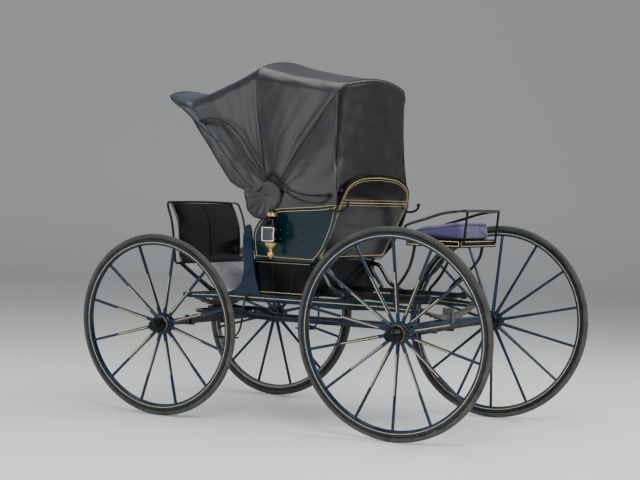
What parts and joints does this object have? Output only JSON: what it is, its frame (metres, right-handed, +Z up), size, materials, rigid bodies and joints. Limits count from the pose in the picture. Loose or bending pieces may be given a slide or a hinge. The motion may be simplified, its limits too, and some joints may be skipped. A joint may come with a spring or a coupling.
{
  "type": "spider phaeton carriage",
  "caption": "Light horse-drawn phaeton with a folding leather hood, boot, dash, lamps and a groom's seat on irons behind.",
  "frame": {"origin": "middle of the carriage's box, on the ground under the wheels", "axes": "+X towards the horse, +Y to the carriage's left, +Z up"},
  "size_m": [2.6422, 1.542, 2.1015],
  "materials": {
    "rubber_tyre": "matte",
    "blue_paint": "gloss, cream lines",
    "blue_wood": "gloss paint, cream lines",
    "hub_metal": "gloss",
    "black_iron": "satin black paint",
    "spring_steel": "dull grey",
    "black_panel": "gloss black varnish",
    "teal_panel": "gloss dark blue-green varnish",
    "purple_cloth": "wool cloth",
    "mat_rubber": "ribbed matte",
    "patent_leather": "gloss",
    "hood_leather": "worn, half gloss",
    "lamp_brass": "polished"
  },
  "bodies": {
    "carriage": {"fifth_wheel": "black_iron", "front_spring": "spring_steel", "rear_axle": "black_iron", "rear_bed": "blue_wood", "rear_spring": "spring_steel", "perch": "blue_wood", "rail_left": "blue_wood", "rail_right": "blue_wood", "seat_bars": "black_iron", "boot": "black_panel", "tub_left": "teal_panel", "tub_right": "teal_panel", "back_panel": "black_panel", "pillars": "blue_paint", "body_irons": "black_iron", "hood_rests": "black_iron", "seat_cushion": "purple_cloth", "seat_back": "purple_cloth", "floor_boards": "black_panel", "floor_mat": "mat_rubber", "dash_leather": "patent_leather", "dash_irons": "black_iron", "step_left": "black_iron", "step_right": "black_iron", "lamp_left": "lamp_brass", "lamp_right": "lamp_brass", "rumble_board": "black_panel", "rumble_cushion": "purple_cloth", "rumble_rail": "black_iron", "rumble_irons": "black_iron", "hood_gather_left": "hood_leather", "hood_gather_right": "hood_leather"},
    "wheel_fl": {"tyre_front_left": "rubber_tyre", "wheel_front_left": "blue_wood", "hub_front_left": "hub_metal"},
    "wheel_fr": {"tyre_front_right": "rubber_tyre", "wheel_front_right": "blue_wood", "hub_front_right": "hub_metal"},
    "wheel_rl": {"tyre_rear_left": "rubber_tyre", "wheel_rear_left": "blue_wood", "hub_rear_left": "hub_metal"},
    "wheel_rr": {"tyre_rear_right": "rubber_tyre", "wheel_rear_right": "blue_wood", "hub_rear_right": "hub_metal"},
    "front_gear": {"front_axle": "black_iron", "front_bed": "blue_wood", "shaft_couplings": "black_iron"},
    "rear_bow": {"bow_rear": "black_iron", "hood_back": "hood_leather"},
    "middle_bow": {"bow_middle": "black_iron", "hood_top_rear": "hood_leather"},
    "front_bow": {"bow_front": "black_iron", "hood_top_front": "hood_leather", "hood_peak": "hood_leather"},
    "lower_irons": {"landau_lower": "black_iron"},
    "upper_irons": {"landau_upper": "black_iron"}
  },
  "joints": [
    {"name": "steering", "type": "hinge", "parent": "carriage", "child": "front_gear", "pos_m": [0.79075, 0, 0.56], "axis": [0, 0, 1], "range_deg": [-20, 20]},
    {"name": "front_left_wheel", "type": "hinge", "parent": "front_gear", "child": "wheel_fl", "pos_m": [0.79075, 0.7015, 0.52895], "axis": [0, 0.997, -0.0772], "continuous": true},
    {"name": "front_right_wheel", "type": "hinge", "parent": "front_gear", "child": "wheel_fr", "pos_m": [0.79075, -0.7015, 0.52895], "axis": [0, 0.997, 0.0772], "continuous": true},
    {"name": "rear_left_wheel", "type": "hinge", "parent": "carriage", "child": "wheel_rl", "pos_m": [-0.73625, 0.7115, 0.58329], "axis": [0, 0.997, -0.0772], "continuous": true},
    {"name": "rear_right_wheel", "type": "hinge", "parent": "carriage", "child": "wheel_rr", "pos_m": [-0.73625, -0.7115, 0.58329], "axis": [0, 0.997, 0.0772], "continuous": true},
    {"name": "hood_fold", "type": "hinge", "parent": "carriage", "child": "rear_bow", "pos_m": [0.21375, 0, 1.3], "axis": [0, -1, 0], "range_deg": [0, 49], "deforming": ["hood_back"]},
    {"name": "middle_fold", "type": "hinge", "parent": "rear_bow", "child": "middle_bow", "pos_m": [0.21375, 0, 1.3], "axis": [0, -1, 0], "range_deg": [0, 37.02], "deforming": ["hood_top_rear"]},
    {"name": "front_fold", "type": "hinge", "parent": "middle_bow", "child": "front_bow", "pos_m": [0.21375, 0, 1.3], "axis": [0, -1, 0], "range_deg": [0, 32.52], "deforming": ["hood_top_front", "hood_gather_left", "hood_gather_right"]},
    {"name": "lower_iron", "type": "hinge", "parent": "carriage", "child": "lower_irons", "pos_m": [-0.17825, 0, 1.316], "axis": [0, -1, 0], "range_deg": [0, 11.1]},
    {"name": "upper_iron", "type": "hinge", "parent": "front_bow", "child": "upper_irons", "pos_m": [0.68118, 0, 1.72832], "axis": [0, -1, 0], "range_deg": [0, 27.23]}
  ],
  "couplings": [
    {"joint": "middle_fold", "follows": "hood_fold", "ratio": 0.7551},
    {"joint": "front_fold", "follows": "hood_fold", "ratio": 0.66326},
    {"joint": "lower_iron", "follows": "hood_fold", "ratio": 0.22604},
    {"joint": "upper_iron", "follows": "hood_fold", "ratio": 0.55525}
  ]
}
